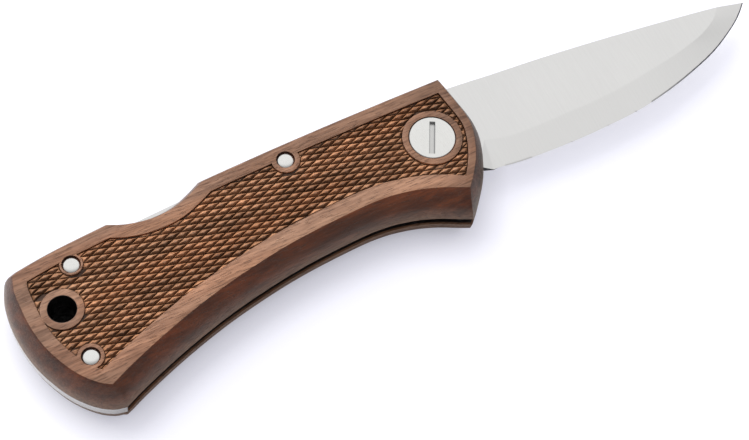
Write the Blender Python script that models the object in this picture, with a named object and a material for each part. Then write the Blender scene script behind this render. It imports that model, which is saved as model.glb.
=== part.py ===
"""A lockback folding knife with flared wooden scales, modelled piece by piece.

The knife lies open on its left scale. X runs along the spine towards the blade's tip, Y runs
from the belly to the spine, and Z is up through the thickness. The origin is on the pivot axis,
in the plane that the left scale rests on.

The lock bar is built in its locked place and then turned to its released one, with its hook
just clear of the tang. So the blade is free to fold, and the bar can drop into either pocket.
"""

import math

import bmesh
import bpy
from mathutils import Matrix, Vector
from mathutils.geometry import intersect_line_line_2d

MM = 0.001

# Thickness of the whole stack, and the layers in it
handle_thickness = 16.4 * MM
blade_thickness = 2.2 * MM
washer_thickness = 0.4 * MM
washer_recess = 0.3 * MM
liner_thickness = 1.2 * MM
face_gap = 0.05 * MM
fit_gap = 0.1 * MM
half_gap = blade_thickness / 2 + 2 * face_gap + washer_thickness - washer_recess
half_handle = handle_thickness / 2

# Blade, measured from the pivot axis
blade_reach = 89.5 * MM
blade_spine_height = 14.0 * MM
blade_edge_drop = 11.7 * MM
tip_height = 3.6 * MM
heel_ahead = 11.6 * MM
plunge_length = 1.2 * MM
bevel_drop = 4.9 * MM
fold_angle = math.radians(171.5)
spine_run_shares = ((-0.017, 1.0), (0.08, 0.966), (0.17, 0.923), (0.26, 0.863), (0.4, 0.784),
                    (0.55, 0.677), (0.7, 0.553), (0.85, 0.416), (0.92, 0.344))
edge_run_shares = ((0.14, 0.855), (0.212, 0.936), (0.29, 0.974), (0.39, 1.0), (0.503, 0.983),
                   (0.581, 0.94), (0.67, 0.825), (0.76, 0.65), (0.844, 0.436), (0.916, 0.162),
                   (0.963, -0.064), (1.0, -0.308))
bevel_run_shares = ((0.145, 0.55), (0.212, 0.88), (0.29, 0.96), (0.39, 1.0), (0.503, 0.98),
                    (0.581, 0.857), (0.66, 0.673), (0.73, 0.49), (0.79, 0.265), (0.84, 0.0),
                    (0.89, -0.45), (0.92, -0.98))

# Tang: the cam that the hook rides on, its pockets, the kick and the choil
cam_radius = 8.5 * MM
shoulder_setback = 1.55 * MM
hook_length = 3.7 * MM
hook_clearance = 0.2 * MM
hook_gap = 0.15 * MM
kick_drop = 9.4 * MM
kick_ahead = 4.95 * MM
kick_length = 2.2 * MM
choil_ahead = 8.7 * MM
choil_drop = 8.4 * MM

# Nail nick on the blade's left side
nick_ahead = 27.0 * MM
nick_below_spine = 3.2 * MM
nick_radius = 14.0 * MM
nick_width = 1.3 * MM
nick_depth = 0.45 * MM
nick_tilt = math.radians(20)

# Handle outline at the parting faces, measured from the pivot axis
tip_clearance = 0.8 * MM
tip_wall_reach = blade_reach + tip_clearance
spacer_depth = 12.85 * MM
handle_back = tip_wall_reach + spacer_depth
handle_front = 12.25 * MM
spine_height = 14.8 * MM
front_corner_ahead = 10.2 * MM
spine_crown = 0.64 * MM
rear_spine_length = 28.25 * MM
rear_spine_fall = 2.8 * MM
rear_spine_crown = 0.36 * MM
scoop_length = 23.9 * MM
scoop_depth = 3.3 * MM
butt_bulge = 14.9 * MM
butt_drop = 26.4 * MM
grip_back = 23.5 * MM
grip_drop = 12.6 * MM
guard_ahead = 0.7 * MM
guard_drop = 19.7 * MM
spine_shares = ((0.0, 0.5), (0.25, 0.86), (0.5, 1.0), (0.75, 0.84))
scoop_shares = ((0.0, -0.06), (0.084, 0.048), (0.188, 0.38), (0.387, 0.905), (0.607, 1.02),
                (0.826, 0.707), (1.0, 0.15))
rear_spine_shares = ((0.2, 0.4), (0.4, 0.8), (0.6, 1.0), (0.8, 0.7))
butt_shares = ((0.35, -0.006), (0.19, 0.017), (0.105, 0.078), (0.04, 0.156), (0.003, 0.273),
               (0.007, 0.398), (0.067, 0.547), (0.188, 0.685), (0.356, 0.812), (0.584, 0.919),
               (0.805, 0.98), (1.0, 1.0))
butt_turn_share = 0.27
belly_rear_shares = ((0.0, 1.0), (0.08, 0.841), (0.206, 0.628), (0.331, 0.446), (0.456, 0.295),
                     (0.583, 0.178), (0.708, 0.088), (0.835, 0.033), (1.0, 0.0))
belly_front_shares = ((0.231, 0.041), (0.397, 0.141), (0.566, 0.301), (0.736, 0.538), (0.901, 0.835),
                      (1.0, 1.0))
front_shares = ((0.0, 0.0), (0.207, 0.07), (0.474, 0.174), (0.69, 0.278), (0.871, 0.403),
                (0.983, 0.528), (0.991, 0.643), (0.931, 0.788), (0.879, 0.904))

# How far the sides of a scale lean in from the parting face to the outer face
spine_flare = 2.35 * MM
butt_flare = 3.1 * MM
belly_flare = 3.75 * MM
guard_flare = 4.7 * MM
front_flare = 2.7 * MM
front_top_flare = 2.15 * MM
side_shares = ((0.0, 0.0, 0.0), (0.3, 0.12, 0.03), (0.62, 0.42, 0.27), (0.88, 0.8, 0.73),
               (1.0, 1.0, 1.0))

# Recessed grip panel on each scale, and the raised rings left standing in it
spine_border = 3.05 * MM
butt_border = 3.0 * MM
belly_border = 3.8 * MM
belly_guard_border = 2.75 * MM
front_guard_border = 1.25 * MM
front_border = 2.0 * MM
belly_border_ease = 4
front_border_ease = 0.5
panel_depth = 0.6 * MM
pivot_ring = 1.5 * MM
lanyard_ring = 1.6 * MM
rocker_ring = 1.35 * MM
upper_ring = 0.65 * MM
lower_ring = 1.0 * MM

# Pivot barrel and screw
pivot_head_radius = 5.4 * MM
pivot_head_thickness = 1.6 * MM
pivot_head_chamfer = 0.2 * MM
barrel_radius = 3.0 * MM
screw_radius = 1.7 * MM
slot_width = 1.2 * MM
slot_length = 8.2 * MM
slot_depth = 0.8 * MM
slot_angle = math.radians(61)
washer_radius = 5.2 * MM

# Rivets through the scales: a tube half from the left and a post half from the right
rivet_head_radius = 1.95 * MM
rivet_rim = 0.85 * MM
rivet_dome = 0.4 * MM
rivet_tube_radius = 1.25 * MM
rivet_post_radius = 0.75 * MM
rivet_sink = 0.03 * MM
rocker_back = 32.6 * MM
rocker_depth = 5.35 * MM
upper_rivet_back = 11.25 * MM
upper_rivet_depth = 5.35 * MM
lower_rivet_inset = 12.0 * MM
lower_rivet_drop = 15.0 * MM

# Lanyard hole
lanyard_radius = 3.2 * MM
lanyard_inset = 10.95 * MM
lanyard_drop = 2.3 * MM

# Liners, let into the scales
liner_inset = 1.4 * MM

# Lock bar, in its locked place
release_angle = math.radians(2.0)
bar_thickness = 2.3 * MM
bar_front_sink = 0.8 * MM
bar_back_sink = 0.3 * MM
bar_wall = 1.1 * MM
bar_neck_height = 8.95 * MM
bar_neck_back = 14.0 * MM
bar_tail_depth = 4.1 * MM
bar_tail_length = 15.0 * MM
tail_gap = 0.5 * MM

# Back spacer and the leaf spring that its arm holds
spacer_corner_angle = math.radians(194)
tip_wall_angle = math.radians(189.5)
spacer_wall = 2.9 * MM
arm_wall = 3.0 * MM
arm_root_drop = 9.5 * MM
spring_thickness = 0.8 * MM
spring_width = 2.0 * MM
spring_seat = 7.4 * MM
spring_sink = 0.68 * MM
spring_tip_gap = 0.12 * MM
spring_reach = 14.0 * MM
spring_shares = ((0.0, 0.0), (0.5, 0.22), (0.85, 0.8), (1.0, 1.0))

# Fineness of curves, and the overrun that clears a cutter from the face it cuts
curve_steps = 3
arc_step = math.radians(7)
wide_turns = 36
narrow_turns = 16
dome_steps = 3
overrun = 1.0 * MM
weld = 0.0005 * MM
smooth_angle = math.radians(35)

# Colour, roughness and metallic value of each finish
finishes = {
    "walnut": ((0.235, 0.115, 0.062), 0.5, 0.0),
    "satin_steel": ((0.72, 0.72, 0.73), 0.3, 1.0),
    "brushed_steel": ((0.58, 0.58, 0.60), 0.35, 1.0),
    "spring_steel": ((0.42, 0.43, 0.46), 0.4, 1.0),
    "nickel_silver": ((0.78, 0.76, 0.72), 0.22, 1.0),
    "bronze": ((0.62, 0.42, 0.2), 0.4, 1.0),
}


# Points and curves

def smooth_run(stations):
    """Points of a smooth curve through the stations, the ends included."""
    ends = [2 * stations[0] - stations[1], *stations, 2 * stations[-1] - stations[-2]]
    points = [stations[0].copy()]
    for before, start, stop, after in zip(ends, ends[1:], ends[2:], ends[3:]):
        for step in range(1, curve_steps + 1):
            t = step / curve_steps
            bend = 2 * before - 5 * start + 4 * stop - after
            twist = 3 * start - before - 3 * stop + after
            points.append(start + (t * (stop - before) + t * t * bend + t ** 3 * twist) / 2)
    return points


def arc_points(radius, start, stop):
    """Points on an arc about the pivot axis."""
    count = max(1, math.ceil(abs(stop - start) / arc_step))
    angles = [start + (stop - start) * step / count for step in range(count + 1)]
    return [Vector((radius * math.cos(angle), radius * math.sin(angle))) for angle in angles]


def turned_about(point, centre, angle):
    """The point turned by an angle about a centre in the XY plane."""
    return centre + Matrix.Rotation(angle, 2) @ (point - centre)


def on_cam(ahead):
    """The upper point of the tang's cam at a distance ahead of the pivot axis."""
    return Vector((ahead, math.sqrt(cam_radius ** 2 - ahead ** 2)))


pivot = Vector((0, 0))
rear_spine_height = spine_height - rear_spine_fall
scoop_end = handle_back - rear_spine_length
scoop_back = scoop_end - scoop_length
rocker = Vector((-rocker_back, spine_height - rocker_depth))
upper_rivet = Vector((-scoop_end - upper_rivet_back, rear_spine_height - upper_rivet_depth))
lower_rivet = Vector((lower_rivet_inset - handle_back, -lower_rivet_drop))
lanyard = Vector((lanyard_inset - handle_back, -lanyard_drop))


# Handle outline: five runs that meet at corners, with the flare of each point as its third value

def spine_run():
    """Spine from the front corner back through the thumb scoop."""
    length = front_corner_ahead + scoop_back
    front = [Vector((front_corner_ahead - along * length, spine_height + up * spine_crown,
                     spine_flare)) for along, up in spine_shares]
    scoop = [Vector((-scoop_back - along * scoop_length, spine_height - down * scoop_depth,
                     spine_flare)) for along, down in scoop_shares]
    return smooth_run(front + scoop)


def rear_spine_run(start, stop):
    """Slightly crowned spine from the end of the scoop to the start of the butt."""
    crown = Vector((0, rear_spine_crown, 0))
    middle = [start.lerp(stop, along) + crown * up for along, up in rear_spine_shares]
    return smooth_run([start, *middle, stop])


def butt_run():
    """Rear end of the spine, round the butt to the belly corner."""
    height = rear_spine_height + butt_drop
    change = butt_flare - spine_flare
    stations = [Vector((inward * butt_bulge - handle_back, rear_spine_height - down * height,
                        spine_flare + change * min(1, down / butt_turn_share)))
                for inward, down in butt_shares]
    return smooth_run(stations)


def belly_run():
    """Belly corner forward through the finger groove to the guard."""
    start = butt_bulge - handle_back
    rear = [Vector((start + along * (-grip_back - start),
                    -grip_drop - down * (butt_drop - grip_drop), belly_flare))
            for along, down in belly_rear_shares]
    front = [Vector((-grip_back + along * (guard_ahead + grip_back),
                     -grip_drop - down * (guard_drop - grip_drop),
                     belly_flare + along * (guard_flare - belly_flare)))
             for along, down in belly_front_shares]
    return smooth_run(rear + front)


def front_run():
    """Guard up the front end to the spine corner."""
    height = guard_drop + spine_height
    stations = [Vector((guard_ahead + along * (handle_front - guard_ahead),
                        up * height - guard_drop,
                        front_flare + up * (front_top_flare - front_flare)))
                for along, up in front_shares]
    top = spine_height + spine_shares[0][1] * spine_crown
    return smooth_run(stations + [Vector((front_corner_ahead, top, front_top_flare))])


def handle_runs():
    """The runs of the handle outline, each ending where the next one starts."""
    spine = spine_run()
    butt = butt_run()
    return [spine, rear_spine_run(spine[-1], butt[0]), butt, belly_run(), front_run()]


def shifted_run(run, share, first_margin, last_margin, ease):
    """A run drawn in, across its own direction, by a share of its flare and by a margin."""
    result = []
    for index, point in enumerate(run):
        before = run[max(0, index - 1)]
        after = run[min(len(run) - 1, index + 1)]
        inward = (after - before).xy.normalized().orthogonal()
        margin = first_margin + (last_margin - first_margin) * (index / (len(run) - 1)) ** ease
        result.append(point.xy + inward * (share * point.z + margin))
    return untangled(result)


def untangled(run):
    """A run with each small loop drawn together to the point where it crosses itself."""
    result = list(run)
    for first in range(len(result) - 2):
        for last in range(len(result) - 2, first + 1, -1):
            meeting = intersect_line_line_2d(result[first], result[first + 1],
                                             result[last], result[last + 1])
            if meeting is not None:
                result[first + 1:last + 1] = [meeting] * (last - first)
                break
    return result


def crossing(first, second):
    """Where two runs cross at their corner: the point and the segment that it lies on in each."""
    for back in range(len(first) - 1):
        for ahead in range(len(second) - 2, -1, -1):
            meeting = intersect_line_line_2d(first[back], first[back + 1],
                                             second[ahead], second[ahead + 1])
            if meeting is not None:
                return meeting, back, ahead
    return (first[-1] + second[0]) / 2, len(first) - 2, 0


def trimmed_run(run, start, start_segment, stop, stop_segment):
    """A run cut at both corners, with as many points as before."""
    kept_first = start_segment + 1
    kept_last = stop_segment
    head = [start.lerp(run[kept_first], step / kept_first) for step in range(kept_first)]
    left_over = len(run) - 1 - kept_last
    tail = [run[kept_last].lerp(stop, step / left_over) for step in range(1, left_over + 1)]
    return head + run[kept_first:kept_last + 1] + tail


def inset_outline(shares, margins):
    """The handle outline, each run drawn in by a share of its flare and by its own margins."""
    runs = [shifted_run(run, share, *margin)
            for run, share, margin in zip(outline_runs, shares, margins)]
    corners = [crossing(run, runs[(index + 1) % len(runs)]) for index, run in enumerate(runs)]
    result = []
    for index, run in enumerate(runs):
        start, _, start_segment = corners[index - 1]
        stop, stop_segment, _ = corners[index]
        result.extend(trimmed_run(run, start, start_segment, stop, stop_segment)[:-1])
    return result


def even_outline(share, margin=0):
    """The handle outline, drawn in by the same share of its flare and margin all round."""
    return inset_outline([share] * len(outline_runs), [(margin, margin, 1)] * len(outline_runs))


def side_outline(lean, belly_lean):
    """The handle outline at one height of its flared sides, where the belly is steeper."""
    shares = [belly_lean if run is belly_line else lean for run in outline_runs]
    return inset_outline(shares, [(0, 0, 1)] * len(outline_runs))


def panel_outline():
    """Outline of the grip panel, with a border of its own along each run."""
    spine = (spine_border, spine_border, 1)
    butt = (butt_border, butt_border, 1)
    belly = (belly_border, belly_guard_border, belly_border_ease)
    front = (front_guard_border, front_border, front_border_ease)
    return inset_outline([1] * len(outline_runs), [spine, spine, butt, belly, front])


outline_runs = handle_runs()
belly_line = outline_runs[3]


# Solids

def new_object(name, mesh_builder, finish=None, cutter=False):
    """An object from a bmesh, with its own material, or a hidden cutter."""
    bmesh.ops.remove_doubles(mesh_builder, verts=mesh_builder.verts, dist=weld)
    bmesh.ops.recalc_face_normals(mesh_builder, faces=mesh_builder.faces)
    mesh = bpy.data.meshes.new(name)
    mesh_builder.to_mesh(mesh)
    mesh_builder.free()
    mesh.shade_smooth()
    mesh.set_sharp_from_angle(angle=smooth_angle)
    piece = bpy.data.objects.new(name, mesh)
    bpy.context.scene.collection.objects.link(piece)
    if cutter:
        piece.hide_render = True
        piece.display_type = "WIRE"
    else:
        mesh.materials.append(make_material(name, *finishes[finish]))
    return piece


def make_material(name, colour, roughness, metallic):
    """A Principled material with one finish."""
    material = bpy.data.materials.new(name)
    material.use_nodes = True
    shader = material.node_tree.nodes["Principled BSDF"]
    shader.inputs["Base Color"].default_value = (*colour, 1)
    shader.inputs["Roughness"].default_value = roughness
    shader.inputs["Metallic"].default_value = metallic
    return material


def stacked(rings):
    """A bmesh through rings of points, extruded from the first ring to the last."""
    builder = bmesh.new()
    base = builder.faces.new([builder.verts.new(point) for point in rings[0]])
    cap = base
    for ring in rings[1:]:
        grown = bmesh.ops.extrude_face_region(builder, geom=[cap])
        if cap is not base:
            builder.faces.remove(cap)
        cap = next(item for item in grown["geom"] if isinstance(item, bmesh.types.BMFace))
        for vert, place in zip(cap.verts, ring):
            vert.co = place
    return builder


def plate(outline, low, high):
    """A bmesh of a flat plate between two heights."""
    return stacked([[point.to_3d() + Vector((0, 0, height)) for point in outline]
                    for height in (low, high)])


def add_turned(builder, profile, centre, turns):
    """Adds a turned shape, from a closed profile or one that ends on the axis."""
    verts = [builder.verts.new((centre.x + radius, centre.y, height)) for radius, height in profile]
    closed = profile[0][0] > 0
    pairs = list(zip(verts, verts[1:])) + ([(verts[-1], verts[0])] if closed else [])
    edges = [builder.edges.new(pair) for pair in pairs]
    bmesh.ops.spin(builder, geom=verts + edges, cent=centre.to_3d(), axis=(0, 0, 1),
                   angle=math.tau, steps=turns, use_merge=True)


def turned(profile, turns, centre=pivot):
    """A bmesh of one turned shape."""
    builder = bmesh.new()
    add_turned(builder, profile, centre, turns)
    return builder


def cut(piece, cutter):
    """Cuts one object out of another."""
    cutter.parent = piece
    boolean = piece.modifiers.new(cutter.name, "BOOLEAN")
    boolean.operation = "DIFFERENCE"
    boolean.solver = "EXACT"
    boolean.object = cutter


# Scales

def bored(radius, low, high):
    """Profile of a plain hole's cutter between two heights."""
    return ((0, low), (radius, low), (radius, high), (0, high))


def stepped(radius, seat_radius, low, seat, high):
    """Profile of a hole's cutter with a wider seat for a head."""
    return ((0, low), (radius, low), (radius, seat), (seat_radius, seat), (seat_radius, high),
            (0, high))


def side_profile(profile, side):
    """The profile for the right side, or its mirror image for the left side."""
    return [(radius, side * height) for radius, height in profile]


def scale_holes(name, side):
    """Cutter for the pivot, rivet and lanyard holes of one scale."""
    low = half_gap - overrun
    high = half_handle + overrun
    builder = bmesh.new()
    pivot_seat = half_handle - pivot_head_thickness - face_gap
    pivot_profile = stepped(barrel_radius + fit_gap, pivot_head_radius + fit_gap, low, pivot_seat, high)
    add_turned(builder, side_profile(pivot_profile, side), pivot, wide_turns)
    rivet_seat = half_handle - rivet_sink - rivet_dome - rivet_rim - face_gap
    rivet_profile = stepped(rivet_tube_radius + fit_gap, rivet_head_radius + 2 * fit_gap, low,
                            rivet_seat, high)
    for centre in (rocker, upper_rivet, lower_rivet):
        add_turned(builder, side_profile(rivet_profile, side), centre, narrow_turns)
    add_turned(builder, side_profile(bored(lanyard_radius, low, high), side), lanyard, wide_turns)
    return new_object(name, builder, cutter=True)


def panel_cutter(name, side):
    """Cutter for the recessed panel, with the raised rings taken out of it."""
    low = half_handle - panel_depth
    high = half_handle + overrun
    panel = new_object(name, plate(panel_outline(), side * low, side * high), cutter=True)
    rings = bmesh.new()
    ends = (side * (low - overrun), side * (high + overrun))
    add_turned(rings, bored(pivot_head_radius + pivot_ring, *ends), pivot, wide_turns)
    add_turned(rings, bored(lanyard_radius + lanyard_ring, *ends), lanyard, wide_turns)
    for centre, ring in ((rocker, rocker_ring), (upper_rivet, upper_ring), (lower_rivet, lower_ring)):
        add_turned(rings, bored(rivet_head_radius + ring, *ends), centre, narrow_turns)
    cut(panel, new_object(name + "_rings", rings, cutter=True))
    return panel


def make_scale(name, side):
    """One wooden scale: a flared shell with a liner pocket, holes and a grip panel."""
    depth = half_handle - half_gap
    rings = [[point.to_3d() + Vector((0, 0, side * (half_gap + up * depth)))
              for point in side_outline(lean, belly_lean)] for up, lean, belly_lean in side_shares]
    scale = new_object(name, stacked(rings), "walnut")
    pocket_depth = liner_thickness + face_gap
    pocket = plate(even_outline(0, liner_inset - fit_gap), side * (half_gap - overrun),
                   side * (half_gap + pocket_depth))
    cut(scale, new_object(name + "_pocket", pocket, cutter=True))
    cut(scale, panel_cutter(name + "_panel", side))
    cut(scale, scale_holes(name + "_holes", side))
    return scale


def make_liner(name, side):
    """One steel liner, let into its scale, with a recess for the pivot washer."""
    low = half_gap
    high = half_gap + liner_thickness
    liner = new_object(name, plate(even_outline(0, liner_inset), side * low, side * high),
                       "brushed_steel")
    holes = bmesh.new()
    washer_seat = half_gap + washer_recess
    pivot_profile = ((0, low - overrun), (washer_radius + fit_gap, low - overrun),
                     (washer_radius + fit_gap, washer_seat), (barrel_radius + fit_gap, washer_seat),
                     (barrel_radius + fit_gap, high + overrun), (0, high + overrun))
    add_turned(holes, side_profile(pivot_profile, side), pivot, wide_turns)
    ends = (side * (low - overrun), side * (high + overrun))
    for centre in (rocker, upper_rivet, lower_rivet):
        add_turned(holes, bored(rivet_tube_radius + fit_gap, *ends), centre, narrow_turns)
    add_turned(holes, bored(lanyard_radius, *ends), lanyard, wide_turns)
    cut(liner, new_object(name + "_holes", holes, cutter=True))
    return liner


def make_washer(name, side):
    """One bronze washer between the tang and a liner."""
    low = blade_thickness / 2 + face_gap
    high = low + washer_thickness
    inner = barrel_radius + fit_gap
    profile = ((inner, low), (washer_radius, low), (washer_radius, high), (inner, high))
    return new_object(name, turned(side_profile(profile, side), wide_turns), "bronze")


# Hook of the lock bar and the pockets that it drops into

def hook_points(angle):
    """Lower face of the hook, front to back, with the bar turned by an angle from locked."""
    reach = cam_radius + hook_clearance
    front = -shoulder_setback - hook_gap
    places = [front - hook_length * step / curve_steps for step in range(curve_steps + 1)]
    released = [Vector((ahead, math.sqrt(reach ** 2 - ahead ** 2))) for ahead in places]
    return [turned_about(point, rocker, angle - release_angle) for point in released]


def pocket_points():
    """Pocket in the cam that takes the locked hook, from its front wall to its rear wall."""
    hook = hook_points(0)
    gap = hook_clearance
    front = Vector((-shoulder_setback, hook[0].y - gap))
    rear = Vector((hook[-1].x - gap, hook[-1].y - gap))
    return [on_cam(front.x), front, rear, on_cam(rear.x)]


# Blade

def tang_points():
    """Tang outline from the shoulder back round the cam to the heel."""
    shoulder, front, rear, tooth = pocket_points()
    closed = [turned_about(point, pivot, fold_angle) for point in (shoulder, front, rear, tooth)]
    start = math.atan2(tooth.y, tooth.x)
    stop = math.atan2(closed[0].y, closed[0].x) + math.tau
    kick = [Vector((kick_ahead, -kick_drop)), Vector((kick_ahead + kick_length, -kick_drop))]
    choil = Vector((choil_ahead, -choil_drop))
    return [front, rear, *arc_points(cam_radius, start, stop), *closed[1:], *kick, choil]


def blade_run(shares, height):
    """Smooth run along the blade from shares of its reach and of a height."""
    return smooth_run([Vector((along * blade_reach, up * height)) for along, up in shares])


def make_blade():
    """Blade with flat sides, a ground bevel on each side, and the tang."""
    half = Vector((0, 0, blade_thickness / 2))
    spine = blade_run(spine_run_shares, blade_spine_height)
    spine[0] = Vector((-shoulder_setback, blade_spine_height))
    edge = blade_run(edge_run_shares, -blade_edge_drop)
    edge[-1] = Vector((math.sqrt(blade_reach ** 2 - tip_height ** 2), tip_height))
    bevel = blade_run(bevel_run_shares, -bevel_drop)
    bevel[-1] = spine[-1]
    heel = Vector((heel_ahead, edge[0].y))
    edge[0] = Vector((heel_ahead + plunge_length, edge[0].y))
    rim = tang_points() + [heel] + bevel + spine[-2::-1]
    builder = bmesh.new()
    upper = [builder.verts.new(point.to_3d() + half) for point in rim]
    lower = [builder.verts.new(point.to_3d() - half) for point in rim]
    keen = [builder.verts.new(point.to_3d()) for point in edge]
    builder.faces.new(upper)
    builder.faces.new(lower[::-1])
    first = len(tang_points()) + 1
    last = first + len(bevel) - 1
    count = len(rim)
    walls = list(range(last, count)) + list(range(first - 1))
    for index in walls:
        after = (index + 1) % count
        builder.faces.new((lower[index], lower[after], upper[after], upper[index]))
    for side in (upper, lower):
        builder.faces.new((side[first - 1], side[first], keen[0]))
        for step in range(len(edge) - 1):
            builder.faces.new((side[first + step], side[first + step + 1], keen[step + 1], keen[step]))
    builder.faces.new((upper[first - 1], lower[first - 1], keen[0]))
    builder.faces.new((upper[last], lower[last], keen[-1]))
    blade = new_object("blade", builder, "satin_steel")
    bore = turned(bored(barrel_radius + fit_gap, -blade_thickness, blade_thickness), wide_turns)
    cut(blade, new_object("blade_bore", bore, cutter=True))
    cut(blade, nail_nick(spine))
    return blade


def nail_nick(spine):
    """Cutter for the nail nick: a tilted disc that dips into the left side."""
    disc = turned(bored(nick_radius, -nick_width / 2, nick_width / 2), wide_turns)
    cutter = new_object("blade_nick", disc, cutter=True)
    above = min(spine, key=lambda point: abs(point.x - nick_ahead))
    centre_height = nick_depth - nick_radius - blade_thickness / 2
    cutter.location = (nick_ahead, above.y - nick_below_spine, centre_height)
    cutter.rotation_euler = (math.pi / 2 + nick_tilt, 0, 0)
    return cutter


# Lock bar

def released_tail(behind):
    """A point under the released tail, from its distance behind the pivot axis when locked."""
    return turned_about(Vector((-behind, tail_height)), rocker, release_angle)


tail_height = spine_height - bar_tail_depth
spring_top = released_tail(scoop_end).y - spring_sink
spring_rise = released_tail(scoop_end - spring_reach).y - spring_tip_gap - spring_top


def make_lock_bar():
    """Rocker bar: hook, neck, lug round the rocker rivet, and the tail under the scoop."""
    front_top = Vector((-shoulder_setback - hook_gap - fit_gap, spine_height - bar_front_sink))
    tail_top = Vector((tail_gap - scoop_end, spine_height - scoop_shares[-1][1] * scoop_depth))
    middle_top = Vector((-scoop_back, spine_height - bar_back_sink))
    tail_bottom = Vector((tail_top.x, tail_height))
    tail_step = Vector((tail_top.x + bar_tail_length, tail_bottom.y))
    lug = rivet_tube_radius + fit_gap + bar_wall
    lug_arc = [rocker + point for point in arc_points(lug, math.radians(225), math.radians(300))]
    neck_back = Vector((-bar_neck_back, bar_neck_height))
    hook = hook_points(0)
    neck_front = Vector((hook[-1].x, bar_neck_height))
    outline = [front_top, middle_top, tail_top, tail_bottom, tail_step, *lug_arc, neck_back,
               neck_front, *hook[::-1]]
    half = bar_thickness / 2
    bar = new_object("lock_bar", plate([point - rocker for point in outline], -half, half),
                     "satin_steel")
    bore = turned(bored(rivet_tube_radius + fit_gap, -bar_thickness, bar_thickness), narrow_turns)
    cut(bar, new_object("lock_bar_bore", bore, cutter=True))
    return bar


# Back spacer and lock spring

def spring_line():
    """Middle line of the leaf spring, from its seat in the arm to its free end."""
    root = Vector((-scoop_end - spring_seat, spring_top - spring_thickness / 2))
    mouth = Vector((-scoop_end, root.y))
    free = [mouth + Vector((along * spring_reach, up * spring_rise)) for along, up in spring_shares]
    return [root] + smooth_run(free)


def make_lock_spring():
    """Leaf spring that pushes the lock bar's tail up."""
    half = Vector((0, spring_thickness / 2))
    line = spring_line()
    outline = [point + half for point in line[::-1]] + [point - half for point in line]
    return new_object("lock_spring", plate(outline, -spring_width / 2, spring_width / 2),
                      "spring_steel")


def spacer_outline():
    """Spacer outline: flush with the handle at the back, clear of the folded tip in front."""
    outside = [point.xy for point in outline_runs[1][:-1] + outline_runs[2]]
    tip_wall = arc_points(tip_wall_reach, spacer_corner_angle, tip_wall_angle)
    web = lanyard_radius + spacer_wall
    arm_height = spring_top - spring_thickness - arm_wall
    front = [Vector((lanyard.x + web, -arm_root_drop)), Vector((lanyard.x + web, lanyard.y)),
             Vector((upper_rivet.x + spacer_wall, arm_height)), Vector((-scoop_end, arm_height))]
    return outside + tip_wall + front


def make_back_spacer():
    """Steel spacer that shows as the strip round the butt."""
    half = half_gap - face_gap
    spacer = new_object("back_spacer", plate(spacer_outline(), -half, half), "brushed_steel")
    seat_low = spring_top - spring_thickness - face_gap
    seat_high = spring_top + face_gap
    seat_end = -scoop_end - spring_seat - fit_gap
    slot = [Vector((seat_end, seat_low)), Vector((overrun - scoop_end, seat_low)),
            Vector((overrun - scoop_end, seat_high)), Vector((seat_end, seat_high))]
    cut(spacer, new_object("spacer_slot", plate(slot, -handle_thickness, handle_thickness), cutter=True))
    holes = bmesh.new()
    for centre in (upper_rivet, lower_rivet):
        add_turned(holes, bored(rivet_tube_radius + fit_gap, -handle_thickness, handle_thickness),
                   centre, narrow_turns)
    add_turned(holes, bored(lanyard_radius, -handle_thickness, handle_thickness), lanyard, wide_turns)
    cut(spacer, new_object("spacer_holes", holes, cutter=True))
    return spacer


# Pivot barrel and screw

def make_pivot_barrel():
    """Left half of the pivot: a plain flush head and the barrel that the blade turns on."""
    bottom = -half_handle
    seat = bottom + pivot_head_thickness
    top = half_handle - pivot_head_thickness - 2 * face_gap
    bore = screw_radius + fit_gap
    profile = ((0, bottom), (pivot_head_radius - pivot_head_chamfer, bottom),
               (pivot_head_radius, bottom + pivot_head_chamfer), (pivot_head_radius, seat),
               (barrel_radius, seat), (barrel_radius, top), (bore, top), (bore, seat), (0, seat))
    return new_object("pivot_barrel", turned(profile, wide_turns), "nickel_silver")


def make_pivot_screw():
    """Right half of the pivot: a slotted flush head and the shank in the barrel."""
    top = half_handle
    seat = top - pivot_head_thickness
    end = pivot_head_thickness + fit_gap - half_handle
    profile = ((0, end), (screw_radius, end), (screw_radius, seat), (pivot_head_radius, seat),
               (pivot_head_radius, top - pivot_head_chamfer),
               (pivot_head_radius - pivot_head_chamfer, top), (0, top))
    screw = new_object("pivot_screw", turned(profile, wide_turns), "nickel_silver")
    half = Vector((slot_length / 2, slot_width / 2))
    slot = [Vector((-half.x, -half.y)), Vector((half.x, -half.y)), half, Vector((-half.x, half.y))]
    cutter = new_object("pivot_slot", plate(slot, top - slot_depth, top + overrun), cutter=True)
    cutter.rotation_euler = (0, 0, slot_angle)
    cut(screw, cutter)
    return screw


# Rivets

def dome_profile(rim, crown):
    """Profile of a domed head from its rim to its crown."""
    return [(rivet_head_radius * math.cos(math.pi / 2 * step / dome_steps),
             rim + (crown - rim) * math.sin(math.pi / 2 * step / dome_steps))
            for step in range(dome_steps)] + [(0, crown)]


def make_rivet(name, centre):
    """A domed rivet: the post half from the right, and the tube half from the left."""
    crown = half_handle - rivet_sink
    rim = crown - rivet_dome
    seat = rim - rivet_rim
    end = seat - face_gap
    bore = rivet_post_radius + fit_gap
    head = [(rivet_head_radius, seat), *dome_profile(rim, crown)]
    post = [(0, -end), (rivet_post_radius, -end), (rivet_post_radius, seat), *head]
    tube = [(0, seat), (bore, seat), (bore, -end), (rivet_tube_radius, -end),
            (rivet_tube_radius, seat), *head]
    halves = [new_object(name + "_post", turned(post, narrow_turns), "nickel_silver"),
              new_object(name + "_tube", turned(side_profile(tube, -1), narrow_turns),
                         "nickel_silver")]
    for half in halves:
        half.location = centre.to_3d()
    return halves


# The whole knife

def clear_scene():
    """Removes every object that the scene starts with."""
    for item in list(bpy.data.objects):
        bpy.data.objects.remove(item, do_unlink=True)


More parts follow.
